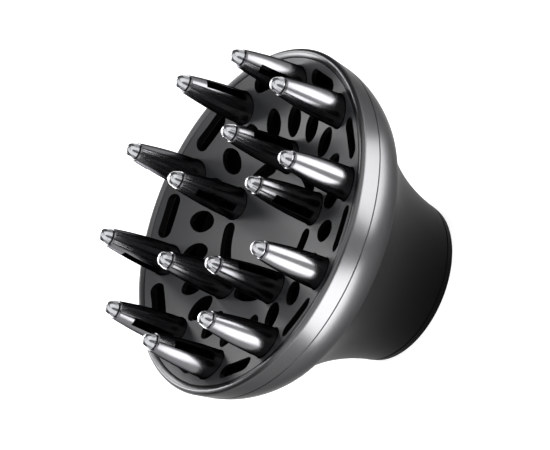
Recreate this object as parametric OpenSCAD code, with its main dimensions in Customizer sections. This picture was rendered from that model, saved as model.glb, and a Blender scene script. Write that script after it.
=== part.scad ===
// Finger diffuser for a hand-held hair dryer.
// A bell-shaped housing takes the dryer's nozzle in its neck and carries a dished, slotted face plate.
// Hollow fingers with round tips stand in the plate, each free to turn in its own seat.
// The part stands on its neck: Z = 0 is the neck's end face, +Z runs along the fingers.

/* [Neck] */
// Radius of the dryer nozzle that the grip ring holds
socket_r = 26; // [23:0.5:29]
// Wall of the rubber grip ring
grip_wall = 3.4; // [2:0.1:5]
// Length of the rubber grip ring
grip_len = 10; // [6:0.5:14]
// Lead-in chamfer at the grip ring's mouth
grip_chamfer = 0.8; // [0.3:0.1:1.5]
// Wall of the housing's neck around the grip ring
neck_wall = 2.1; // [1.4:0.1:3]
// Height of the ring that closes the neck's end
neck_ring_h = 3; // [2:0.25:5]
// Length of the end ring's spigot inside the neck
spigot_len = 2.1; // [1.8:0.1:4]
// Clear width between the end ring's bore and the nozzle
neck_ring_relief = 1.4; // [0.8:0.1:2]
// Thickness of the rib that stops the nozzle
stop_rib_t = 1.6; // [1:0.1:3]

/* [Funnel] */
// Height of the rim's back above the neck's end face
funnel_h = 51.4; // [44:0.2:64]
// Slope of the funnel's wall at the neck, in degrees from the axis
neck_slope = 10; // [4:1:14]
// Wall of the funnel
shell_wall = 2.2; // [1.6:0.1:3]

/* [Rim] */
// Height of the rear band, from the rim's back to the parting line
band_h = 13.9; // [12:0.1:18]
// Lean of the rear band at the parting line, in degrees from the axis
band_lean = 10; // [6:0.5:16]
// Radius of the rear band's barrel curve
band_barrel_r = 30; // [26:0.5:60]
// Wall of the rear band
band_wall = 2.4; // [1.8:0.1:3]
// Rounding of the rim's back edge
rim_back_round = 1.2; // [0.6:0.1:1.4]
// Height of the bezel, from the parting line to its crest
bezel_h = 9; // [8.6:0.1:12]
// Lean of the bezel's outside, in degrees from the axis
bezel_lean = 9; // [4:0.5:14]
// Rounding of the bezel's crest
crest_round = 1.6; // [1.2:0.1:2]
// Drop of the bezel's lip from the crest to its inner edge
lip_drop = 0.6; // [0.3:0.1:0.8]
// Wall of the bezel over the collar, at the parting line
bezel_wall = 1.87; // [1.5:0.01:2.6]
// Chamfer on both sides of the parting line
seam_chamfer = 0.3; // [0.1:0.05:0.5]
// Wall of the collar that the bezel snaps over
collar_wall = 1.8; // [1.6:0.1:2.2]
// Height of the snap bead inside the bezel
bead_h = 0.8; // [0.5:0.1:1.2]
// Bite of the snap beads into their grooves
bead_bite = 0.45; // [0.2:0.05:0.6]

/* [Face plate] */
// Radius of the dished face
plate_r = 64.7; // [60:0.5:72]
// Radius of the sphere that the face is dished to
dish_r = 195; // [180:5:260]
// Wall of the dished face
plate_t = 2; // [1.4:0.1:3]
// Drop from the bezel's crest to the edge of the face
dish_inset = 0.85; // [0.7:0.05:1.5]
// Width of the flange under the bezel's lip
flange_w = 1.3; // [0.9:0.1:1.6]
// Drop from the edge of the face to the flange
flange_drop = 1.3; // [1:0.1:1.6]
// Thickness of the flange
flange_t = 2.5; // [2:0.1:3]
// Thickness of the gasket under the flange
gasket_t = 1.2; // [0.8:0.1:1.6]

/* [Air holes] */
// Number of radial oval holes between the two rings of fingers
oval_count = 20; // [10:10:20]
// Width of an oval hole
oval_w = 8.8; // [6:0.2:9]
// Radius at the ends of an oval hole
oval_end_r = 2.9; // [2:0.1:2.9]
// Web between an oval hole and the finger seats
oval_web = 0.15; // [0.1:0.05:1]
// Length of the straight slots between the outer fingers
edge_slot_len = 18; // [12:0.5:19]
// Width of the straight slots
edge_slot_w = 6; // [4:0.2:6.2]
// Distance of the straight slots from the edge of the face
edge_slot_inset = 5.9; // [5.6:0.1:7]
// Radius of the curved slots between the inner fingers
arc_slot_r = 26; // [24:0.5:30]
// Width of the curved slots
arc_slot_w = 6; // [4:0.2:6.6]
// Web between a curved slot and the finger seats
arc_slot_web = 0.2; // [0.1:0.05:2]

/* [Fingers] */
// Number of fingers in the outer ring
outer_count = 10; // [10:10:10]
// Number of fingers in the inner ring
inner_count = 5; // [5:5:5]
// Radius of the inner ring of fingers
inner_ring_r = 28.2; // [26:0.1:30]
// Length of a finger above the face
finger_len = 27.3; // [24:0.1:34]
// Radius of a finger at the face
finger_base_r = 6.3; // [5.8:0.1:6.6]
// Radius of a finger at its end
finger_end_r = 3.55; // [3.2:0.05:4]
// Swell of a finger's side at half its length
finger_swell = 0.5; // [0:0.05:0.7]
// Wall of a finger
finger_wall = 1.2; // [0.9:0.1:1.5]
// Width of the air slot in a finger's side
finger_slot_w = 3.4; // [2:0.2:4]
// Height of the slot's lower end above the face
finger_slot_from = 3; // [2:0.5:6]
// Length of the air slot in a finger's side
finger_slot_len = 17.4; // [10:0.2:18]
// Radius of the tip's base
tip_base_r = 3.35; // [3:0.05:3.6]
// Radius of the tip's ball end
tip_r = 2.85; // [2.4:0.05:3]
// Lean of the tip's side below its ball end, in degrees from the axis
tip_lean = 18; // [14:1:24]
// Height of the groove between a finger's end and its tip
tip_gap = 0.5; // [0.3:0.05:0.8]
// Depth of the groove between a finger's end and its tip
tip_groove = 0.6; // [0.3:0.05:0.8]
// Radius of the tip's stem
stem_r = 1.5; // [1:0.05:1.7]
// Length of the tip's stem inside the finger
stem_len = 5; // [3:0.1:5.4]

/* [Finger seats] */
// Radius of a finger's journal
journal_r = 5; // [4.2:0.05:5.2]
// Wall of the journal
journal_wall = 1.2; // [0.9:0.1:1.6]
// Depth of a seat's floor below the face
seat_depth = 4; // [3.4:0.1:6]
// Thickness of a seat's floor
seat_floor_t = 1.6; // [1.2:0.1:2.4]
// Wall of a seat's sleeve
seat_wall = 0.7; // [0.6:0.1:1]
// Height of the barb that holds a finger in its seat
barb_h = 1.2; // [0.8:0.1:2]
// Reach of the barb past the journal
barb_reach = 0.4; // [0.2:0.05:0.6]
// Width of the slits that let the journal spring
slit_w = 1.2; // [0.8:0.1:1.6]

/* [Clearances] */
// Radial clearance of a journal in its seat
running_gap = 0.05; // [0.02:0.01:0.08]
// Gap between other faces that move past each other
moving_gap = 0.3; // [0.2:0.05:0.5]
// Gap between pieces that are fixed together
fixed_gap = 0.05; // [0.02:0.01:0.1]

/* [Hidden] */
$fn = 96;
sphere_fn = 240;
eps = 0.01;
past = 5;

// Direction of each finger's air slot, in degrees clockwise seen from the front
outer_slot_turn = [110, 250, 305, 225, 280, 65, 120, 162, 198, 54];
inner_slot_turn = [60, 125, 55, 270, 115];

// Neck, worked out from the nozzle
neck_bore_r = socket_r + grip_wall;
neck_r = neck_bore_r + neck_wall;
grip_z = neck_ring_h + spigot_len + fixed_gap;
stop_z = grip_z + grip_len + fixed_gap;
sleeve_top = stop_z + stop_rib_t;
neck_ring_bore_r = socket_r + neck_ring_relief;
stop_r = socket_r + neck_ring_relief / 2;
neck_bead_z = neck_ring_h + spigot_len / 2;

// Rim, worked out from the face plate
flange_r = plate_r + flange_w;
collar_r = plate_r + flange_w / 2;
collar_bore_r = collar_r - collar_wall;
bezel_bore_r = collar_r + 3 * fixed_gap;
parting_r = bezel_bore_r + bezel_wall;
parting_z = funnel_h + band_h;
crest_z = parting_z + bezel_h;
face_edge_z = crest_z - dish_inset;
flange_top = face_edge_z - flange_drop;
flange_bottom = flange_top - flange_t;
collar_top = flange_bottom - gasket_t;
collar_root = 2;
bead_z = (parting_z + collar_top) / 2;

// Rear band's barrel curve, and the rounding of the rim's back inside it
barrel_center = [parting_r - band_barrel_r * cos(band_lean), parting_z + band_barrel_r * sin(band_lean)];
back_z = funnel_h + rim_back_round;
back_lean = asin((barrel_center.y - back_z) / (band_barrel_r - rim_back_round));
back_r = barrel_center.x + (band_barrel_r - rim_back_round) * cos(back_lean);

// Funnel: one arc from the neck's end face to the rim's back
chord_angle = atan2(back_r - neck_r, funnel_h);
chord = norm([back_r - neck_r, funnel_h]);
flare_r = chord / (2 * sin(chord_angle - neck_slope));
flare_center = [neck_r + flare_r * cos(neck_slope), -flare_r * sin(neck_slope)];

// Bezel's crest, tangent to its leaning outside
crest_center_z = crest_z - crest_round;
crest_tangent_z = crest_center_z - crest_round * sin(bezel_lean);
crest_tangent_r = parting_r + (crest_tangent_z - parting_z) * tan(bezel_lean);
crest_center_r = crest_tangent_r - crest_round * cos(bezel_lean);

// Dish
dish_center_z = face_edge_z + sqrt(dish_r * dish_r - plate_r * plate_r);

// Finger seats
hole_r = finger_base_r + moving_gap;
sleeve_r = hole_r + seat_wall;
collar_clear = 0.55;
outer_ring_r = collar_bore_r - collar_clear - sleeve_r;
seat_bore_r = journal_r + running_gap;
floor_lift = 0.1;
shoulder_z = -seat_depth + floor_lift;
seat_bottom = -seat_depth - seat_floor_t;
barb_top = seat_bottom - moving_gap;
journal_bottom = barb_top - barb_h;
slit_top = shoulder_z - seat_floor_t / 4;

// Finger
finger_steps = 16;
finger_plug = stem_len + 0.7;
cavity_top = finger_len - finger_plug;
tip_neck_r = tip_base_r - tip_groove;
tip_join_r = tip_r * cos(tip_lean);
tip_join_z = tip_gap + (tip_base_r - tip_join_r) / tan(tip_lean);
tip_ball_z = tip_join_z - tip_r * sin(tip_lean);
end_chamfer = 0.25;

// Oval holes: four tangent arcs
oval_r = (outer_ring_r + inner_ring_r) / 2;
oval_len = outer_ring_r - inner_ring_r - 2 * (sleeve_r + oval_web);
oval_end_x = oval_len / 2 - oval_end_r;
oval_side_r = (pow(oval_end_x, 2) + pow(oval_w / 2, 2) - pow(oval_end_r, 2)) / (oval_w - 2 * oval_end_r);
oval_side_y = oval_side_r - oval_w / 2;
oval_join_x = oval_end_x * (1 + oval_end_r / (oval_side_r - oval_end_r));

// Curved slots: half angle that keeps the web to the inner seats
arc_slot_reach = sleeve_r + arc_slot_w / 2 + arc_slot_web;
arc_slot_cos = (pow(arc_slot_r, 2) + pow(inner_ring_r, 2) - pow(arc_slot_reach, 2)) / (2 * arc_slot_r * inner_ring_r);
arc_slot_half = 180 / inner_count - acos(arc_slot_cos);

// Radius of the funnel's outside at a height
function flare_at(z) = flare_center[0] - sqrt(flare_r * flare_r - pow(z - flare_center[1], 2));

// Height of the dished face at a radius
function dish_z(r) = dish_center_z - sqrt(dish_r * dish_r - r * r);

// Radius of a finger at a height above the face
function finger_r(z) =
    let (u = z / finger_len)
    finger_base_r + (finger_end_r - finger_base_r) * u + finger_swell * 4 * u * (1 - u);

// Heights at which a finger's side is cut into short cones
function finger_heights(top) = [for (i = [0:finger_steps]) top * i / finger_steps];

// A finger's place on its ring, clockwise seen from the front
module on_ring(i, count, r) {
    angle = -360 / count * (i - 1);
    translate([r * cos(angle), r * sin(angle), dish_z(r)])
        children();
}

module oval_hole() {
    intersection() {
        translate([0, -oval_side_y])
            circle(oval_side_r);
        translate([0, oval_side_y])
            circle(oval_side_r);
        square([2 * oval_join_x, oval_w], center = true);
    }
    for (side = [-1, 1])
        translate([side * oval_end_x, 0])
            circle(oval_end_r);
}

module edge_slot() {
    straight = edge_slot_len - edge_slot_w;
    square([edge_slot_w, straight], center = true);
    for (side = [-1, 1])
        translate([0, side * straight / 2])
            circle(edge_slot_w / 2);
}

module arc_slot() {
    wedge = arc_slot_r * 2;
    intersection() {
        difference() {
            circle(arc_slot_r + arc_slot_w / 2);
            circle(arc_slot_r - arc_slot_w / 2);
        }
        polygon([
            [0, 0],
            wedge * [cos(arc_slot_half), -sin(arc_slot_half)],
            wedge * [1, 0],
            wedge * [cos(arc_slot_half), sin(arc_slot_half)]
        ]);
    }
    for (side = [-1, 1])
        rotate(side * arc_slot_half)
            translate([arc_slot_r, 0])
                circle(arc_slot_w / 2);
}

module air_holes() {
    for (i = [0:oval_count - 1])
        rotate(360 / oval_count * i)
            translate([oval_r, 0])
                oval_hole();
    for (i = [0:outer_count - 1])
        rotate(360 / outer_count * (i + 0.5))
            translate([plate_r - edge_slot_inset, 0])
                edge_slot();
    for (i = [0:inner_count - 1])
        rotate(360 / inner_count * (i + 0.5))
            arc_slot();
}

// One solid collar of a finger seat, before its bores
module seat_sleeve() {
    translate([0, 0, seat_bottom])
        cylinder(r = sleeve_r, h = seat_depth + seat_floor_t + past);
}

module seat_bores() {
    translate([0, 0, -seat_depth])
        cylinder(r = hole_r, h = seat_depth + past);
    translate([0, 0, seat_bottom - eps])
        cylinder(r = seat_bore_r, h = seat_floor_t + 2 * eps);
}

module at_all_seats() {
    for (i = [1:outer_count])
        on_ring(i, outer_count, outer_ring_r)
            children();
    for (i = [1:inner_count])
        on_ring(i, inner_count, inner_ring_r)
            children();
}

module face_plate() {
    bottom = dish_center_z - dish_r - 2 * plate_t;
    color("#4a4a4c")
        difference() {
            union() {
                intersection() {
                    translate([0, 0, dish_center_z])
                        sphere(dish_r + plate_t, $fn = sphere_fn);
                    translate([0, 0, bottom])
                        cylinder(r = plate_r, h = crest_z - bottom);
                }
                translate([0, 0, flange_bottom])
                    difference() {
                        cylinder(r = flange_r, h = flange_t);
                        translate([0, 0, -eps])
                            cylinder(r = collar_bore_r - collar_clear * 2, h = flange_t + 2 * eps);
                    }
                at_all_seats()
                    seat_sleeve();
            }
            translate([0, 0, dish_center_z])
                sphere(dish_r, $fn = sphere_fn);
            at_all_seats()
                seat_bores();
            translate([0, 0, bottom])
                linear_extrude(crest_z - bottom)
                    air_holes();
        }
}

module plate_gasket() {
    color("#1a1a1a")
        translate([0, 0, collar_top])
            difference() {
                cylinder(r = collar_r, h = gasket_t);
                translate([0, 0, -eps])
                    cylinder(r = collar_bore_r, h = gasket_t + 2 * eps);
            }
}

module bezel_profile() {
    step_z = collar_top - moving_gap;
    lip_bottom = flange_top + fixed_gap;
    lip_r = plate_r + 4 * fixed_gap;
    wall_r = flange_r + 4 * fixed_gap;
    seam_z = parting_z + fixed_gap;
    polygon([
        [parting_r - seam_chamfer, seam_z],
        [parting_r + seam_chamfer * tan(bezel_lean), seam_z + seam_chamfer],
        [crest_tangent_r, crest_tangent_z],
        [crest_center_r, crest_z],
        [lip_r, crest_z - lip_drop],
        [lip_r, lip_bottom],
        [wall_r, lip_bottom],
        [wall_r, step_z],
        [bezel_bore_r, step_z],
        [bezel_bore_r, seam_z]
    ]);
    // Outer half of the crest's rounding, so that it stays clear of the plate's flange
    intersection() {
        translate([crest_center_r, crest_center_z])
            circle(crest_round);
        translate([crest_center_r, crest_center_z - crest_round])
            square([crest_round, 2 * crest_round]);
    }
    translate([collar_r - bead_bite, bead_z - bead_h / 2])
        square([bead_bite + bezel_wall / 2, bead_h]);
}

module bezel_ring() {
    color("#77787a")
        rotate_extrude()
            bezel_profile();
}

// Groove with room round a snap bead
module bead_groove(wall_r, z, inward) {
    depth = bead_bite + 3 * fixed_gap;
    height = bead_h + 4 * fixed_gap;
    translate([inward ? wall_r - depth : wall_r - eps, z - height / 2])
        square([depth + eps, height]);
}

module funnel_wall() {
    intersection() {
        difference() {
            translate(flare_center)
                circle(flare_r + shell_wall, $fn = sphere_fn);
            translate(flare_center)
                circle(flare_r, $fn = sphere_fn);
        }
        translate([neck_bore_r, neck_ring_h + fixed_gap])
            square([back_r - neck_bore_r, back_z - neck_ring_h - fixed_gap]);
    }
}

module neck_sleeve() {
    difference() {
        translate([neck_bore_r, neck_ring_h + fixed_gap])
            square([flare_at(sleeve_top) - neck_bore_r, sleeve_top - neck_ring_h - fixed_gap]);
        translate(flare_center)
            circle(flare_r, $fn = sphere_fn);
    }
    translate([stop_r, stop_z])
        square([neck_bore_r - stop_r + eps, stop_rib_t]);
}

module rear_band() {
    back_side = [cos(back_lean), -sin(back_lean)];
    chamfer_step = seam_chamfer * [1 - tan(band_lean), -1];
    translate([back_r, back_z])
        circle(rim_back_round);
    difference() {
        intersection() {
            difference() {
                translate(barrel_center)
                    circle(band_barrel_r, $fn = sphere_fn);
                translate(barrel_center)
                    circle(band_barrel_r - band_wall, $fn = sphere_fn);
            }
            polygon([
                [parting_r - 3 * band_wall, parting_z],
                [parting_r + band_wall, parting_z],
                barrel_center + 2 * band_barrel_r * back_side,
                barrel_center + (band_barrel_r - 2 * band_wall) * back_side
            ]);
        }
        translate([parting_r - seam_chamfer, parting_z])
            polygon([
                [0, 0],
                2 * chamfer_step,
                [2 * chamfer_step.x, seam_chamfer],
                [0, seam_chamfer]
            ]);
    }
    translate([collar_bore_r, parting_z - collar_root])
        square([collar_wall, collar_top - parting_z + collar_root]);
}

module rear_housing() {
    color("#161616")
        rotate_extrude()
            difference() {
                union() {
                    funnel_wall();
                    neck_sleeve();
                    rear_band();
                }
                bead_groove(collar_r, bead_z, true);
                bead_groove(neck_bore_r, neck_bead_z, false);
            }
}

module neck_ring() {
    spigot_r = neck_bore_r - fixed_gap;
    top_r = flare_at(neck_ring_h);
    color("#202020")
        rotate_extrude() {
            polygon([
                [neck_ring_bore_r, 0],
                [neck_r - seam_chamfer, 0],
                [neck_r, seam_chamfer],
                [top_r, neck_ring_h - seam_chamfer],
                [top_r - seam_chamfer, neck_ring_h],
                [spigot_r, neck_ring_h],
                [spigot_r, neck_ring_h + spigot_len],
                [neck_ring_bore_r, neck_ring_h + spigot_len]
            ]);
            translate([spigot_r - eps, neck_bead_z - bead_h / 2])
                square([bead_bite + eps, bead_h]);
        }
}

module grip_ring() {
    color("#2a2a2a")
        rotate_extrude()
            polygon([
                [socket_r + grip_chamfer, grip_z],
                [neck_bore_r - fixed_gap, grip_z],
                [neck_bore_r - fixed_gap, grip_z + grip_len],
                [socket_r, grip_z + grip_len],
                [socket_r, grip_z + grip_chamfer]
            ]);
}

module finger_body() {
    end_z = finger_len - end_chamfer;
    rotate_extrude()
        polygon(concat(
            [[journal_r, shoulder_z], [finger_base_r, shoulder_z]],
            [for (z = finger_heights(end_z)) [finger_r(z), z]],
            [[finger_r(end_z) - end_chamfer, finger_len], [0, finger_len], [0, journal_bottom]],
            [[journal_r, journal_bottom]]
        ));
    // The barb, with a lead-in cone below it
    translate([0, 0, journal_bottom])
        cylinder(r1 = journal_r - barb_reach / 2, r2 = journal_r + barb_reach, h = barb_h);
}

module finger_cavity() {
    bore_r = journal_r - journal_wall;
    rotate_extrude()
        polygon(concat(
            [[0, journal_bottom - eps], [bore_r, journal_bottom - eps], [bore_r, 0]],
            [for (z = finger_heights(cavity_top)) [finger_r(z) - finger_wall, z]],
            [[0, cavity_top]]
        ));
    translate([0, 0, finger_len - stem_len - 4 * fixed_gap])
        cylinder(r = stem_r + fixed_gap / 2, h = stem_len + past);
}

module finger(slot_turn) {
    color("#1c1c1c")
        difference() {
            finger_body();
            finger_cavity();
            rotate(-slot_turn)
                translate([0, -finger_slot_w / 2, finger_slot_from])
                    cube([2 * finger_base_r, finger_slot_w, finger_slot_len]);
            for (turn = [0, 90])
                rotate(turn - slot_turn)
                    translate([-2 * journal_r, -slit_w / 2, journal_bottom - eps])
                        cube([4 * journal_r, slit_w, slit_top - journal_bottom]);
        }
}

module ball_tip() {
    color("#d0d0d0")
        translate([0, 0, finger_len]) {
            translate([0, 0, -stem_len])
                cylinder(r = stem_r, h = stem_len + tip_gap);
            cylinder(r = tip_neck_r, h = tip_gap + eps);
            translate([0, 0, tip_gap])
                cylinder(r1 = tip_base_r, r2 = tip_join_r, h = tip_join_z - tip_gap);
            // The ball end, above the circle where the leaning side meets it
            intersection() {
                translate([0, 0, tip_ball_z])
                    sphere(tip_r);
                translate([0, 0, tip_join_z])
                    cylinder(r = 2 * tip_r, h = 2 * tip_r);
            }
        }
}

rear_housing();
bezel_ring();
face_plate();
plate_gasket();
grip_ring();
neck_ring();
for (i = [1:outer_count]) {
    on_ring(i, outer_count, outer_ring_r) finger(outer_slot_turn[i - 1]);
    on_ring(i, outer_count, outer_ring_r) ball_tip();
}
for (i = [1:inner_count]) {
    on_ring(i, inner_count, inner_ring_r) finger(inner_slot_turn[i - 1]);
    on_ring(i, inner_count, inner_ring_r) ball_tip();
}
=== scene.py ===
"""Looks of a hair dryer finger diffuser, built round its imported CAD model.

The diffuser stands on its neck with the fingers up. Every piece is in metres, in the model's own frame.
"""

import math

import bpy
from mathutils import Matrix, Vector


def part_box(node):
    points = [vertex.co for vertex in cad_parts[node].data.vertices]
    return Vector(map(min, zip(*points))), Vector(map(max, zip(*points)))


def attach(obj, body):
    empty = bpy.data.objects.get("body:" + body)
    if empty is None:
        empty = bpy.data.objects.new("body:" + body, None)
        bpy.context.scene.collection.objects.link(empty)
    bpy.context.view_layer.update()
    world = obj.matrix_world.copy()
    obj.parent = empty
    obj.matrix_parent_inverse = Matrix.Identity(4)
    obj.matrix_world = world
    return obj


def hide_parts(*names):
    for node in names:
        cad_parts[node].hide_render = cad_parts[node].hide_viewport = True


bl_info = {
    "name": "Finger diffuser",
    "version": (1, 0, 0),
    "blender": (4, 5, 0),
    "location": "3D View > Sidebar > Diffuser",
    "description": "Builds the looks of a hair dryer finger diffuser round its CAD model",
    "category": "Object",
}

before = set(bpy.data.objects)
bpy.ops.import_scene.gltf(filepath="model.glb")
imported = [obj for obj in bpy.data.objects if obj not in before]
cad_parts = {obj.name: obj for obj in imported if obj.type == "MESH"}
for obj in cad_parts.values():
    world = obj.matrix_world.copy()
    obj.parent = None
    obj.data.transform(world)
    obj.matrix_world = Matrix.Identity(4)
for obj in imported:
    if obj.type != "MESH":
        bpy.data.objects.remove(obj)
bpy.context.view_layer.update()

MM = 0.001
OUTER_FINGERS = 10
INNER_FINGERS = 5
ROOT = "diffuser"

# Direction of each finger's air slot, in degrees clockwise seen from the front, as in the CAD model
SLOT_TURNS = (110, 250, 305, 225, 280, 65, 120, 162, 198, 54, 60, 125, 55, 270, 115)

# Heights of the CAD pieces that the new pieces sit on
neck_ring_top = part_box("neck_ring")[1].z
bezel_bottom, bezel_crest = (corner.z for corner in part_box("bezel_ring"))

# Hidden fits, as in the CAD model
RING_GAP = 0.05 * MM
COLLAR_RADIUS = 65.35 * MM
COLLAR_WALL = 1.8 * MM
COLLAR_BELOW_CREST = 5.85 * MM
SLEEVE_TOP = 16.85 * MM
SLEEVE_TOP_RADIUS = 31.4 * MM
SPIGOT_RADIUS = 29.35 * MM
SPIGOT_BORE = 27.4 * MM
LIP_RADIUS = 64.9 * MM
LIP_DEPTH = 2.1 * MM
BEZEL_BORE = 65.5 * MM
FLANGE_BORE = 66.2 * MM
FLANGE_DEPTH = 6.15 * MM

# Panels that lie on the floor: name, degrees round from +X, distance, shift, depth, width, brightness
PANELS = (
    ("near panel, upper side", -56, 0.137, 0, 0.085, 0.1, 12),
    ("near panel, lower side", -123, 0.137, 0, 0.085, 0.085, 15),
    ("far panel, upper side", -73, 0.34, 0.145, 0.32, 0.29, 8),
    ("far panel, lower side", -103, 0.34, -0.15, 0.32, 0.3, 8),
    ("back panel, lower side", 118, 0.45, 0, 0.4, 0.2, 12),
)

# Softboxes that face the dish: name, place, width, depth, brightness
SOFTBOXES = (
    ("upper softbox", (0.36, -0.44, 0.46), 0.8, 0.88, 2),
    ("lower softbox", (-0.46, -0.34, 0.46), 0.8, 0.88, 2),
    ("back softbox", (-0.05, 0.8, 0.42), 1.0, 0.8, 2.6),
    ("overhead softbox", (-0.1, 0.1, 1.1), 0.9, 0.9, 1.6),
    ("lip softbox", (-0.05, 0.51, 0.37), 0.13, 0.13, 28),
    ("lip softbox, lower side", (0.2, 0.47, 0.36), 0.13, 0.13, 18),
    ("low back card", (0.12, 0.9, 0.13), 0.8, 0.16, 5),
)


def finger_names():
    """Every finger's name without its prefix, outer ring first."""
    outer = [f"outer_{i}" for i in range(1, OUTER_FINGERS + 1)]
    inner = [f"inner_{i}" for i in range(1, INNER_FINGERS + 1)]
    return outer + inner


class DiffuserSizes(bpy.types.PropertyGroup):
    """Sizes of the pieces that are modelled here."""

    neck_radius: bpy.props.FloatProperty(
        name="Neck radius", description="Outside radius of the neck at its end",
        default=31.5 * MM, unit="LENGTH")
    neck_slope: bpy.props.FloatProperty(
        name="Neck slope", description="Slope of the funnel at the neck",
        default=math.radians(10), unit="ROTATION")
    neck_bore: bpy.props.FloatProperty(
        name="Neck bore", description="Radius of the bore behind the neck's end",
        default=29.4 * MM, unit="LENGTH")
    neck_ring_height: bpy.props.FloatProperty(
        name="Neck ring height", description="Height of the ring at the neck's end",
        default=3 * MM, unit="LENGTH")
    funnel_height: bpy.props.FloatProperty(
        name="Funnel height", description="Height of the rim's back", default=51.4 * MM, unit="LENGTH")
    shell_wall: bpy.props.FloatProperty(
        name="Shell wall", description="Wall of the funnel", default=2.2 * MM, unit="LENGTH")
    parting_height: bpy.props.FloatProperty(
        name="Parting height", description="Height of the rim's parting line",
        default=65.3 * MM, unit="LENGTH")
    parting_radius: bpy.props.FloatProperty(
        name="Parting radius", description="Radius of the rim at its parting line",
        default=67.37 * MM, unit="LENGTH")
    band_lean: bpy.props.FloatProperty(
        name="Band lean", description="Lean of the rear band at its front",
        default=math.radians(10), unit="ROTATION")
    band_barrel: bpy.props.FloatProperty(
        name="Band barrel", description="Radius of the rear band's curve", default=30 * MM, unit="LENGTH")
    rim_back_round: bpy.props.FloatProperty(
        name="Rim back rounding", description="Rounding of the rim's back edge",
        default=1.2 * MM, unit="LENGTH")
    bezel_lean: bpy.props.FloatProperty(
        name="Bezel lean", description="Lean of the bezel's outside",
        default=math.radians(9), unit="ROTATION")
    crest_round: bpy.props.FloatProperty(
        name="Crest rounding", description="Rounding of the bezel's crest", default=1.6 * MM, unit="LENGTH")
    seam_chamfer: bpy.props.FloatProperty(
        name="Seam chamfer", description="Chamfer at a parting line", default=0.3 * MM, unit="LENGTH")
    finger_length: bpy.props.FloatProperty(
        name="Finger length", description="Length of a finger above the face",
        default=27.3 * MM, unit="LENGTH")
    finger_base: bpy.props.FloatProperty(
        name="Finger base radius", description="Radius of a finger at the face",
        default=6.3 * MM, unit="LENGTH")
    finger_end: bpy.props.FloatProperty(
        name="Finger end radius", description="Radius of a finger at its end",
        default=3.55 * MM, unit="LENGTH")
    finger_swell: bpy.props.FloatProperty(
        name="Finger swell", description="Swell of a finger at half its length",
        default=0.5 * MM, unit="LENGTH")
    finger_wall: bpy.props.FloatProperty(
        name="Finger wall", description="Wall of a finger", default=1.2 * MM, unit="LENGTH")
    slot_width: bpy.props.FloatProperty(
        name="Slot width", description="Width of a finger's air slot", default=3.4 * MM, unit="LENGTH")
    slot_from: bpy.props.FloatProperty(
        name="Slot start", description="Lower end of a finger's air slot above the face",
        default=3 * MM, unit="LENGTH")
    slot_length: bpy.props.FloatProperty(
        name="Slot length", description="Length of a finger's air slot", default=17.4 * MM, unit="LENGTH")
    tip_base: bpy.props.FloatProperty(
        name="Tip base radius", description="Radius of a tip at its base", default=3.35 * MM, unit="LENGTH")
    tip_radius: bpy.props.FloatProperty(
        name="Tip radius", description="Radius of a tip's ball end", default=2.85 * MM, unit="LENGTH")
    tip_lean: bpy.props.FloatProperty(
        name="Tip lean", description="Lean of a tip's side", default=math.radians(18), unit="ROTATION")
    tip_groove: bpy.props.FloatProperty(
        name="Tip groove", description="Height of the groove under a tip", default=0.5 * MM, unit="LENGTH")


class DiffuserColours(bpy.types.PropertyGroup):
    """Colours of the finishes, as sRGB hex."""

    housing: bpy.props.StringProperty(name="Housing", description="Black of the bell", default="#030303")
    bezel: bpy.props.StringProperty(name="Bezel", description="Gunmetal of the rim", default="#4a4a4b")
    plate: bpy.props.StringProperty(
        name="Plate", description="Dark grey of the dished face", default="#1f2022")
    finger: bpy.props.StringProperty(
        name="Finger", description="Dark chrome of the fingers", default="#646466")
    tip: bpy.props.StringProperty(name="Tip", description="Dark metal of the tips", default="#9a9b9e")
    rubber: bpy.props.StringProperty(
        name="Rubber", description="Black of the rubber pieces", default="#151515")
    floor: bpy.props.StringProperty(name="Floor", description="White of the floor", default="#c8c8c8")


def linear(hex_colour):
    """sRGB hex to linear RGBA."""
    channels = [int(hex_colour[i:i + 2], 16) / 255 for i in (1, 3, 5)]
    return tuple(c / 12.92 if c <= 0.04045 else ((c + 0.055) / 1.055) ** 2.4 for c in channels) + (1.0,)


def add_node(tree, kind, links=(), **settings):
    """Adds a node, sets its inputs or properties by name, and links (socket, source socket) pairs into it."""
    node = tree.nodes.new(kind)
    for name, value in settings.items():
        if hasattr(node, name):
            setattr(node, name, value)
        else:
            node.inputs[name.replace("_", " ")].default_value = value
    for socket, source in links:
        tree.links.new(source, node.inputs[socket])
    return node


def start_material(name):
    """A new material with its shader, its tree and Object coordinates."""
    material = bpy.data.materials.new(name)
    material.use_nodes = True
    tree = material.node_tree
    shader = tree.nodes["Principled BSDF"]
    coords = add_node(tree, "ShaderNodeTexCoord").outputs["Object"]
    return material, tree, shader, coords


def grain(tree, coords, size_mm, detail=3.0):
    """A noise pattern whose features are about size_mm across."""
    return add_node(tree, "ShaderNodeTexNoise", [("Vector", coords)], Scale=1 / (size_mm * MM), Detail=detail)


def vary_roughness(tree, shader, pattern, low, high):
    """Roughness that runs from low to high with a pattern."""
    source = pattern.outputs["Fac"]
    spread = add_node(tree, "ShaderNodeMapRange", [("Value", source)], To_Min=low, To_Max=high)
    tree.links.new(spread.outputs["Result"], shader.inputs["Roughness"])


def vary_colour(tree, shader, pattern, dark, light):
    """Colour that runs from dark to light with a pattern."""
    ramp = add_node(tree, "ShaderNodeMix", [("Factor", pattern.outputs["Fac"])], data_type="RGBA")
    ramp.inputs["A"].default_value = dark
    ramp.inputs["B"].default_value = light
    tree.links.new(ramp.outputs["Result"], shader.inputs["Base Color"])


def add_bump(tree, shader, pattern, height_mm):
    """Relief of a given height from a pattern."""
    source = pattern.outputs["Fac"]
    bump = add_node(tree, "ShaderNodeBump", [("Height", source)], Strength=1.0, Distance=height_mm * MM)
    tree.links.new(bump.outputs["Normal"], shader.inputs["Normal"])


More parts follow.
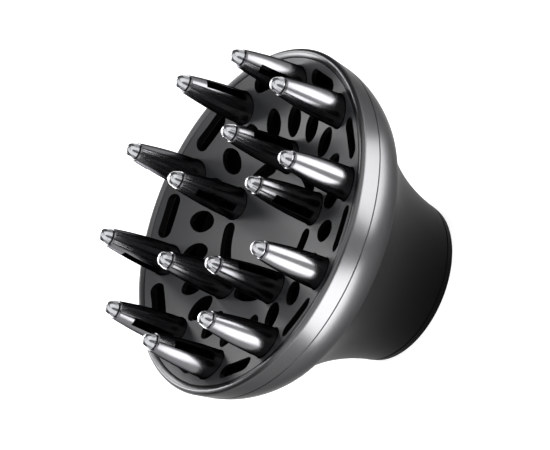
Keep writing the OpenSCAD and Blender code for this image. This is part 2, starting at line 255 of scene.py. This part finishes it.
def shade(colour, factor):
    """A colour made darker or lighter."""
    return tuple(c * factor for c in colour[:3]) + (1.0,)


def gloss_abs(name, colour, low, high):
    """Moulded ABS: a smooth black skin whose gloss wavers a little where the melt flowed."""
    material, tree, shader, coords = start_material(name)
    shader.inputs["Specular IOR Level"].default_value = 0.03
    flow = grain(tree, coords, 18.0)
    vary_roughness(tree, shader, flow, low, high)
    vary_colour(tree, shader, flow, shade(colour, 0.85), shade(colour, 1.15))
    add_bump(tree, shader, grain(tree, coords, 1.2), 0.002)
    return material


def gunmetal_lacquer(name, colour, low, high, flake_mm, relief_mm, edge_tint):
    """Dark metallic lacquer: fine flakes spread the rim's sheen, slow waves keep the fingers' sharp."""
    material, tree, shader, coords = start_material(name)
    shader.inputs["Metallic"].default_value = 1.0
    shader.inputs["Specular Tint"].default_value = (edge_tint, edge_tint, edge_tint, 1)
    flake = grain(tree, coords, flake_mm, detail=2.0)
    vary_roughness(tree, shader, flake, low, high)
    vary_colour(tree, shader, flake, shade(colour, 0.92), shade(colour, 1.08))
    add_bump(tree, shader, flake, relief_mm)
    return material


def rim_lacquer(name, colour):
    """The lacquer of both halves of the rim."""
    return gunmetal_lacquer(name, colour, low=0.28, high=0.34, flake_mm=0.6, relief_mm=0.001, edge_tint=0.4)


def satin_nylon(name, colour):
    """Glass-filled nylon from a spark-eroded mould: an even dark grey with a fine matt grain."""
    material, tree, shader, coords = start_material(name)
    shader.inputs["Specular IOR Level"].default_value = 0.17
    grit = grain(tree, coords, 0.5)
    vary_roughness(tree, shader, grit, 0.38, 0.5)
    vary_colour(tree, shader, grain(tree, coords, 9.0), shade(colour, 0.9), shade(colour, 1.1))
    add_bump(tree, shader, grit, 0.006)
    return material


def metallised_tip(name, colour):
    """Vacuum-metallised plastic: a dark mirror with a trace of polishing haze."""
    material, tree, shader, coords = start_material(name)
    shader.inputs["Metallic"].default_value = 1.0
    haze = grain(tree, coords, 0.8)
    vary_roughness(tree, shader, haze, 0.18, 0.22)
    vary_colour(tree, shader, haze, shade(colour, 0.95), shade(colour, 1.05))
    return material


def silicone_rubber(name, colour):
    """Moulded silicone: matt black with a dusty bloom."""
    material, tree, shader, coords = start_material(name)
    shader.inputs["IOR"].default_value = 1.43
    bloom = grain(tree, coords, 4.0)
    vary_roughness(tree, shader, bloom, 0.55, 0.7)
    vary_colour(tree, shader, bloom, shade(colour, 0.85), shade(colour, 1.25))
    add_bump(tree, shader, grain(tree, coords, 0.4), 0.004)
    return material


def clear_selection():
    """Leaves edit mode and deselects everything."""
    if bpy.context.object and bpy.context.object.mode != "OBJECT":
        bpy.ops.object.mode_set(mode="OBJECT")
    bpy.ops.object.select_all(action="DESELECT")


def arc(center, radius, start, end, steps):
    """Points of an arc in the (radius, height) plane; angles in radians from the outward direction."""
    turns = [start + (end - start) * i / steps for i in range(steps + 1)]
    return [(center[0] + radius * math.cos(a), center[1] + radius * math.sin(a)) for a in turns]


def lathe(name, outline, steps):
    """Spins a closed outline of (radius, height) points round Z."""
    clear_selection()
    bpy.ops.mesh.primitive_plane_add(size=MM)
    piece = bpy.context.object
    piece.name = name
    piece.data.name = name
    bpy.ops.object.mode_set(mode="EDIT")
    bpy.ops.mesh.select_all(action="SELECT")
    bpy.ops.mesh.merge(type="CENTER")
    bpy.ops.transform.translate(value=(outline[0][0], 0, outline[0][1]))
    for near, far in zip(outline, outline[1:]):
        step = (far[0] - near[0], 0, far[1] - near[1])
        bpy.ops.mesh.extrude_region_move(TRANSFORM_OT_translate={"value": step})
    bpy.ops.mesh.select_all(action="SELECT")
    bpy.ops.mesh.spin(steps=steps, angle=math.tau, center=(0, 0, 0), axis=(0, 0, 1))
    bpy.ops.mesh.select_all(action="SELECT")
    bpy.ops.mesh.remove_doubles(threshold=1e-6)
    bpy.ops.mesh.normals_make_consistent(inside=False)
    bpy.ops.object.mode_set(mode="OBJECT")
    bpy.ops.object.shade_smooth_by_angle(angle=math.radians(32))
    return piece


def apply_modifier(piece, kind, **settings):
    """Adds a modifier with its settings and applies it."""
    modifier = piece.modifiers.new(kind.title(), kind)
    for name, value in settings.items():
        setattr(modifier, name, value)
    bpy.context.view_layer.objects.active = piece
    bpy.ops.object.modifier_apply(modifier=modifier.name)


def duplicate(source, name):
    """A copy of an object with its own mesh."""
    clear_selection()
    source.select_set(True)
    bpy.context.view_layer.objects.active = source
    bpy.ops.object.duplicate()
    piece = bpy.context.object
    piece.name = name
    piece.data.name = name
    return piece


def seat(piece, body, node, material):
    """A finished piece takes its material, rides on its body and stands for its CAD node."""
    piece.data.materials.clear()
    piece.data.materials.append(material)
    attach(piece, body)
    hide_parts(node)


def flare(sizes, back_radius):
    """Centre, radius and end angle of the funnel's arc from the neck's end to the rim's back."""
    rise = sizes.funnel_height
    reach = back_radius - sizes.neck_radius
    chord_angle = math.atan2(reach, rise)
    radius = math.hypot(reach, rise) / (2 * math.sin(chord_angle - sizes.neck_slope))
    center = (
        sizes.neck_radius + radius * math.cos(sizes.neck_slope),
        -radius * math.sin(sizes.neck_slope),
    )
    return center, radius, 2 * chord_angle - sizes.neck_slope


def flare_at(sizes, back_radius, height):
    """Radius of the funnel's outside at a height."""
    center, radius, _ = flare(sizes, back_radius)
    return center[0] - math.sqrt(radius ** 2 - (height - center[1]) ** 2)


def rim_back(sizes):
    """Centre of the rear band's barrel curve, centre of the rounding at its back and the lean there."""
    barrel = (
        sizes.parting_radius - sizes.band_barrel * math.cos(sizes.band_lean),
        sizes.parting_height + sizes.band_barrel * math.sin(sizes.band_lean),
    )
    height = sizes.funnel_height + sizes.rim_back_round
    reach = sizes.band_barrel - sizes.rim_back_round
    lean = math.asin((barrel[1] - height) / reach)
    return barrel, (barrel[0] + reach * math.cos(lean), height), lean


class DIFFUSER_OT_housing(bpy.types.Operator):
    """Turn the bell-shaped rear housing"""

    bl_idname = "diffuser.housing"
    bl_label = "Rear housing"

    def execute(self, context):
        sizes = context.scene.diffuser_sizes
        colours = context.scene.diffuser_colours
        barrel, back, lean = rim_back(sizes)
        center, radius, end = flare(sizes, back[0])
        seam = sizes.seam_chamfer
        bottom = sizes.neck_ring_height + RING_GAP
        start = math.asin((bottom - center[1]) / radius)
        collar_bore, collar_top = COLLAR_RADIUS - COLLAR_WALL, bezel_crest - COLLAR_BELOW_CREST
        # Inside of the rim: foot of the collar, then the corner behind the band
        collar_foot = (collar_bore, sizes.parting_height - 2 * MM)
        band_corner = (back[0] + 0.6 * MM, back[1] + 1.6 * MM)
        outline = [(sizes.neck_bore, bottom)]
        outline += [(center[0] - radius * math.cos(start) - seam, bottom)]
        outline += arc(center, radius, math.pi - start - seam / radius, math.pi - end, 40)
        outline += arc(back, sizes.rim_back_round, -math.pi / 2, -lean, 8)
        band_end = -sizes.band_lean - seam / sizes.band_barrel
        outline += arc(barrel, sizes.band_barrel, -lean, band_end, 24)[1:]
        outline += [(sizes.parting_radius - seam, sizes.parting_height)]
        outline += [(COLLAR_RADIUS, sizes.parting_height), (COLLAR_RADIUS, collar_top)]
        outline += [(collar_bore, collar_top), collar_foot, band_corner]
        outline += arc(center, radius + sizes.shell_wall, math.pi - end + 0.02, math.pi - 0.55 * end, 16)
        outline += [(SLEEVE_TOP_RADIUS, SLEEVE_TOP), (sizes.neck_bore, SLEEVE_TOP), (sizes.neck_bore, bottom)]
        piece = lathe("rear_bell", outline, 160)
        material = gloss_abs("Moulded ABS, black", linear(colours.housing), low=0.4, high=0.47)
        seat(piece, ROOT, "rear_housing", material)
        # The band behind the parting line is sprayed like the bezel
        piece.data.materials.append(rim_lacquer("Gunmetal lacquer on the band", linear(colours.bezel)))
        spray_edge = sizes.funnel_height + 0.4 * MM
        for face in piece.data.polygons:
            outside = face.normal.xy.dot(face.center.xy) > 0
            if outside and face.center.z > spray_edge:
                face.material_index = 1
        return {"FINISHED"}


class DIFFUSER_OT_bezel(bpy.types.Operator):
    """Turn the gunmetal front half of the rim"""

    bl_idname = "diffuser.bezel"
    bl_label = "Bezel ring"

    def execute(self, context):
        sizes = context.scene.diffuser_sizes
        seam = sizes.seam_chamfer
        center_z = bezel_crest - sizes.crest_round
        tangent_z = center_z - sizes.crest_round * math.sin(sizes.bezel_lean)
        tangent_r = sizes.parting_radius + (tangent_z - sizes.parting_height) * math.tan(sizes.bezel_lean)
        center = (tangent_r - sizes.crest_round * math.cos(sizes.bezel_lean), center_z)
        lip_bottom, step = bezel_crest - LIP_DEPTH, bezel_crest - FLANGE_DEPTH
        seam_top = sizes.parting_radius + seam * math.tan(sizes.bezel_lean)
        outline = [(sizes.parting_radius - seam, bezel_bottom), (seam_top, bezel_bottom + seam)]
        # The crest rolls over a little past its top, then drops to the lip
        outline += arc(center, sizes.crest_round, -sizes.bezel_lean, math.pi / 2 + 0.27, 14)
        outline += [(LIP_RADIUS + 0.3 * MM, bezel_crest - 0.52 * MM), (LIP_RADIUS, bezel_crest - 0.8 * MM)]
        outline += [(LIP_RADIUS, lip_bottom), (FLANGE_BORE, lip_bottom), (FLANGE_BORE, step)]
        outline += [(BEZEL_BORE, step), (BEZEL_BORE, bezel_bottom), outline[0]]
        piece = lathe("bezel_band", outline, 192)
        colour = linear(context.scene.diffuser_colours.bezel)
        material = rim_lacquer("Gunmetal lacquer on ABS", colour)
        seat(piece, ROOT, "bezel_ring", material)
        return {"FINISHED"}


class DIFFUSER_OT_plate(bpy.types.Operator):
    """Smooth and soften a copy of the dished face plate"""

    bl_idname = "diffuser.plate"
    bl_label = "Face plate"

    def execute(self, context):
        piece = duplicate(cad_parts["face_plate"], "dished_plate")
        # The copy drops the marks of a CAD node
        for key in list(piece.keys()):
            del piece[key]
        piece.parent = None
        bpy.ops.object.mode_set(mode="EDIT")
        bpy.ops.mesh.select_all(action="SELECT")
        bpy.ops.mesh.remove_doubles(threshold=1e-6)
        bpy.ops.mesh.customdata_custom_splitnormals_clear()
        bpy.ops.object.mode_set(mode="OBJECT")
        bpy.ops.object.shade_smooth_by_angle(angle=math.radians(30))
        colours = context.scene.diffuser_colours
        material = satin_nylon("Glass-filled nylon, sprayed satin grey", linear(colours.plate))
        seat(piece, ROOT, "face_plate", material)
        # Only the dished face keeps the satin grey: hole walls, seats and back are painted black as shade in
        # the holes and behind the plate
        piece.data.materials.append(satin_nylon("Nylon painted black as shade in holes and behind", linear(colours.housing)))
        for face in piece.data.polygons:
            if face.normal.z < 0.5:
                face.material_index = 1
        return {"FINISHED"}


class DIFFUSER_OT_fingers(bpy.types.Operator):
    """Turn one hollow finger, cut its air slot and set a copy in every seat"""

    bl_idname = "diffuser.fingers"
    bl_label = "Fingers"

    def execute(self, context):
        sizes = context.scene.diffuser_sizes
        shoulder, journal_low = -3.9 * MM, -7.1 * MM
        journal_r, journal_bore = 5 * MM, 3.8 * MM
        plug = 5.7 * MM
        stem_bore, stem_depth = 1.6 * MM, 2 * MM
        lip = 0.25 * MM
        top = sizes.finger_length

        def side(z):
            """Radius of the finger's outside at a height above the face."""
            u = z / top
            straight = sizes.finger_base + (sizes.finger_end - sizes.finger_base) * u
            return straight + sizes.finger_swell * 4 * u * (1 - u)

        outline = [(journal_bore, journal_low), (journal_r, journal_low), (journal_r, shoulder)]
        outline += [(sizes.finger_base, shoulder)]
        outline += [(side(z), z) for z in [(top - lip) * i / 40 for i in range(41)]]
        outline += [(side(top) - lip * 0.3, top - lip * 0.3), (side(top) - lip, top), (stem_bore, top)]
        outline += [(stem_bore, top - stem_depth), (0, top - stem_depth), (0, top - plug)]
        inside = [(top - plug) * (1 - i / 12) for i in range(13)]
        outline += [(side(z) - sizes.finger_wall, z) for z in inside]
        outline += [(journal_bore, 0), (journal_bore, journal_low)]
        finger = lathe("finger", outline, 96)
        clear_selection()
        bpy.ops.mesh.primitive_cube_add(size=1)
        cutter = context.object
        cutter.scale = (2 * sizes.finger_base, sizes.slot_width, sizes.slot_length)
        cutter.location = (sizes.finger_base, 0, sizes.slot_from + sizes.slot_length / 2)
        bpy.ops.object.transform_apply(location=True, rotation=True, scale=True)
        apply_modifier(cutter, "BEVEL", width=0.35 * MM, segments=3)
        apply_modifier(finger, "BOOLEAN", object=cutter, operation="DIFFERENCE", solver="EXACT")
        bpy.data.objects.remove(cutter)
        clear_selection()
        finger.select_set(True)
        context.view_layer.objects.active = finger
        bpy.ops.object.shade_smooth_by_angle(angle=math.radians(32))
        colour = linear(context.scene.diffuser_colours.finger)
        material = gunmetal_lacquer(
            "Dark chrome lacquer on nylon", colour,
            low=0.2, high=0.23, flake_mm=6.0, relief_mm=0.003, edge_tint=0.1)
        turns = dict(zip(finger_names(), SLOT_TURNS))
        for name in finger_names():
            piece = duplicate(finger, f"air_finger_{name}")
            low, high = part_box(f"finger_{name}")
            middle = (low + high) / 2
            piece.location = (middle.x, middle.y, high.z - top)
            piece.rotation_euler = (0, 0, -math.radians(turns[name]))
            bpy.ops.object.transform_apply(location=True, rotation=True, scale=True)
            seat(piece, f"finger_{name}", f"finger_{name}", material)
        bpy.data.objects.remove(finger)
        return {"FINISHED"}


class DIFFUSER_OT_tips(bpy.types.Operator):
    """Turn one polished tip and set a copy on every finger"""

    bl_idname = "diffuser.tips"
    bl_label = "Round tips"

    def execute(self, context):
        sizes = context.scene.diffuser_sizes
        radius, base, lean, gap = sizes.tip_radius, sizes.tip_base, sizes.tip_lean, sizes.tip_groove
        edge = 0.2 * MM
        neck, stem, depth = base - 0.6 * MM, 1.5 * MM, 1.9 * MM
        join_r = radius * math.cos(lean)
        join_z = gap + (base - join_r) / math.tan(lean)
        ball_z = join_z - radius * math.sin(lean)
        # Radius of the leaning side at the top of the rounded base edge
        side_r = base - edge * math.tan(lean)
        outline = [(0, -depth), (stem, -depth), (stem, 0), (neck, 0), (neck, gap), (base - edge, gap)]
        outline += [(side_r - edge * 0.2, gap + edge * 0.35), (side_r, gap + edge)]
        outline += arc((0, ball_z), radius, lean, math.pi / 2, 20)
        tip = lathe("tip", outline, 64)
        material = metallised_tip("Vacuum-metallised tip", linear(context.scene.diffuser_colours.tip))
        for name in finger_names():
            piece = duplicate(tip, f"round_tip_{name}")
            low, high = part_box(f"ball_tip_{name}")
            middle = (low + high) / 2
            piece.location = (middle.x, middle.y, high.z - radius - ball_z)
            bpy.ops.object.transform_apply(location=True, rotation=True, scale=True)
            seat(piece, f"finger_{name}", f"ball_tip_{name}", material)
        bpy.data.objects.remove(tip)
        return {"FINISHED"}


class DIFFUSER_OT_neck(bpy.types.Operator):
    """Turn the ring at the neck's end and finish the rubber pieces"""

    bl_idname = "diffuser.neck"
    bl_label = "Neck ring"

    def execute(self, context):
        sizes = context.scene.diffuser_sizes
        colours = context.scene.diffuser_colours
        height = sizes.neck_ring_height
        seam, edge = sizes.seam_chamfer, 0.5 * MM
        top_r = flare_at(sizes, rim_back(sizes)[1][0], height)
        outline = [(SPIGOT_BORE, 0)]
        outline += arc((sizes.neck_radius - edge, edge), edge, -math.pi / 2, 0, 6)
        outline += [(top_r, height - seam), (top_r - seam, height), (SPIGOT_RADIUS, height)]
        outline += [(SPIGOT_RADIUS, neck_ring_top), (SPIGOT_BORE, neck_ring_top), (SPIGOT_BORE, 0)]
        piece = lathe("neck_end_ring", outline, 160)
        material = gloss_abs("Moulded ABS, black", linear(colours.housing), low=0.4, high=0.48)
        seat(piece, ROOT, "neck_ring", material)
        rubber = silicone_rubber("Silicone rubber, black", linear(colours.rubber))
        for name in ("grip_ring", "plate_gasket"):
            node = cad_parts[name]
            node.data.materials.clear()
            node.data.materials.append(rubber)
        return {"FINISHED"}


class DIFFUSER_OT_stage(bpy.types.Operator):
    """Set up the floor, the soft lights and the camera"""

    bl_idname = "diffuser.stage"
    bl_label = "Stage"

    def execute(self, context):
        colours = context.scene.diffuser_colours
        clear_selection()
        bpy.ops.mesh.primitive_plane_add(size=12)
        floor = context.object
        floor.name = "floor"
        material, tree, shader, coords = start_material("Matt white paper floor")
        shader.inputs["Roughness"].default_value = 0.9
        shader.inputs["Base Color"].default_value = linear(colours.floor)
        floor.data.materials.append(material)
        path = add_node(tree, "ShaderNodeLightPath")
        seen = add_node(tree, "ShaderNodeMath", operation="MAXIMUM")
        tree.links.new(path.outputs["Is Camera Ray"], seen.inputs[0])
        tree.links.new(path.outputs["Is Glossy Ray"], seen.inputs[1])
        shown = add_node(tree, "ShaderNodeMath", operation="MAXIMUM")
        tree.links.new(seen.outputs["Value"], shown.inputs[0])
        tree.links.new(path.outputs["Is Transmission Ray"], shown.inputs[1])
        glow = add_node(tree, "ShaderNodeMath", [(0, shown.outputs["Value"])], operation="MULTIPLY")
        glow.inputs[1].default_value = 0.7  # with the lamps' light on it, the floor is white
        shader.inputs["Emission Color"].default_value = (1, 1, 1, 1)
        tree.links.new(glow.outputs["Value"], shader.inputs["Emission Strength"])

        world = bpy.data.worlds.new("Soft studio")
        context.scene.world = world
        world.use_nodes = True
        world.node_tree.nodes["Background"].inputs["Color"].default_value = (0.5, 0.5, 0.5, 1)
        world.node_tree.nodes["Background"].inputs["Strength"].default_value = 0.35

        for row in PANELS:
            self.panel(context, *row)
        for row in SOFTBOXES:
            self.lamp(context, *row)
        self.camera(context)
        context.scene.view_settings.view_transform = "Standard"
        return {"FINISHED"}

    def lamp(self, context, name, place, width, depth, brightness):
        """A soft area lamp aimed at the dish, of a given brightness of its face."""
        clear_selection()
        bpy.ops.object.light_add(type="AREA", location=place)
        lamp = context.object
        lamp.name = name
        lamp.data.shape = "RECTANGLE"
        lamp.data.size = width
        lamp.data.size_y = depth
        lamp.data.energy = brightness * math.pi * width * depth
        lamp.visible_camera = False
        dish = Vector((0, 0, 0.07))
        lamp.rotation_euler = (dish - Vector(place)).to_track_quat("-Z", "Y").to_euler()
        return lamp

    def panel(self, context, name, side, reach, shift, depth, width, brightness):
        """A light panel that lies on the floor and shines up."""
        turn = math.radians(side)
        place = Matrix.Rotation(turn, 3, "Z") @ Vector((reach, shift, MM))
        lamp = self.lamp(context, name, place, depth, width, brightness)
        lamp.rotation_euler = (math.pi, 0, turn)

    def camera(self, context):
        """The photograph's view: a long lens, low over the dish and rolled on its side."""
        clear_selection()
        bpy.ops.object.camera_add()
        camera = context.object
        azimuth, elevation, roll = math.radians(-99.82), math.radians(32.1), math.radians(-67.71)
        distance, aim = 1627.4 * MM, Vector((2.17, -0.25, 61.8)) * MM
        back = Vector((
            math.cos(elevation) * math.cos(azimuth),
            math.cos(elevation) * math.sin(azimuth),
            math.sin(elevation),
        ))
        turn = (-back).to_track_quat("-Z", "Y").to_matrix() @ Matrix.Rotation(roll, 3, "Z")
        camera.matrix_world = Matrix.Translation(aim + back * distance) @ turn.to_4x4()
        camera.data.sensor_width = 36
        camera.data.lens = 283.8
        context.scene.camera = camera


class DIFFUSER_PT_panel(bpy.types.Panel):
    """Lists the steps that build the diffuser"""

    bl_idname = "DIFFUSER_PT_panel"
    bl_label = "Finger diffuser"
    bl_space_type = "VIEW_3D"
    bl_region_type = "UI"
    bl_category = "Diffuser"

    def draw(self, context):
        for operator in OPERATORS:
            self.layout.operator(operator.bl_idname)


OPERATORS = (
    DIFFUSER_OT_housing,
    DIFFUSER_OT_bezel,
    DIFFUSER_OT_plate,
    DIFFUSER_OT_fingers,
    DIFFUSER_OT_tips,
    DIFFUSER_OT_neck,
    DIFFUSER_OT_stage,
)
CLASSES = (DiffuserSizes, DiffuserColours, *OPERATORS, DIFFUSER_PT_panel)


def register():
    for cls in CLASSES:
        bpy.utils.register_class(cls)
    bpy.types.Scene.diffuser_sizes = bpy.props.PointerProperty(type=DiffuserSizes)
    bpy.types.Scene.diffuser_colours = bpy.props.PointerProperty(type=DiffuserColours)


def unregister():
    del bpy.types.Scene.diffuser_colours
    del bpy.types.Scene.diffuser_sizes
    for cls in reversed(CLASSES):
        bpy.utils.unregister_class(cls)


def main():
    register()
    bpy.ops.diffuser.housing()
    bpy.ops.diffuser.bezel()
    bpy.ops.diffuser.plate()
    bpy.ops.diffuser.fingers()
    bpy.ops.diffuser.tips()
    bpy.ops.diffuser.neck()
    bpy.ops.diffuser.stage()


if __name__ == "__main__":
    main()
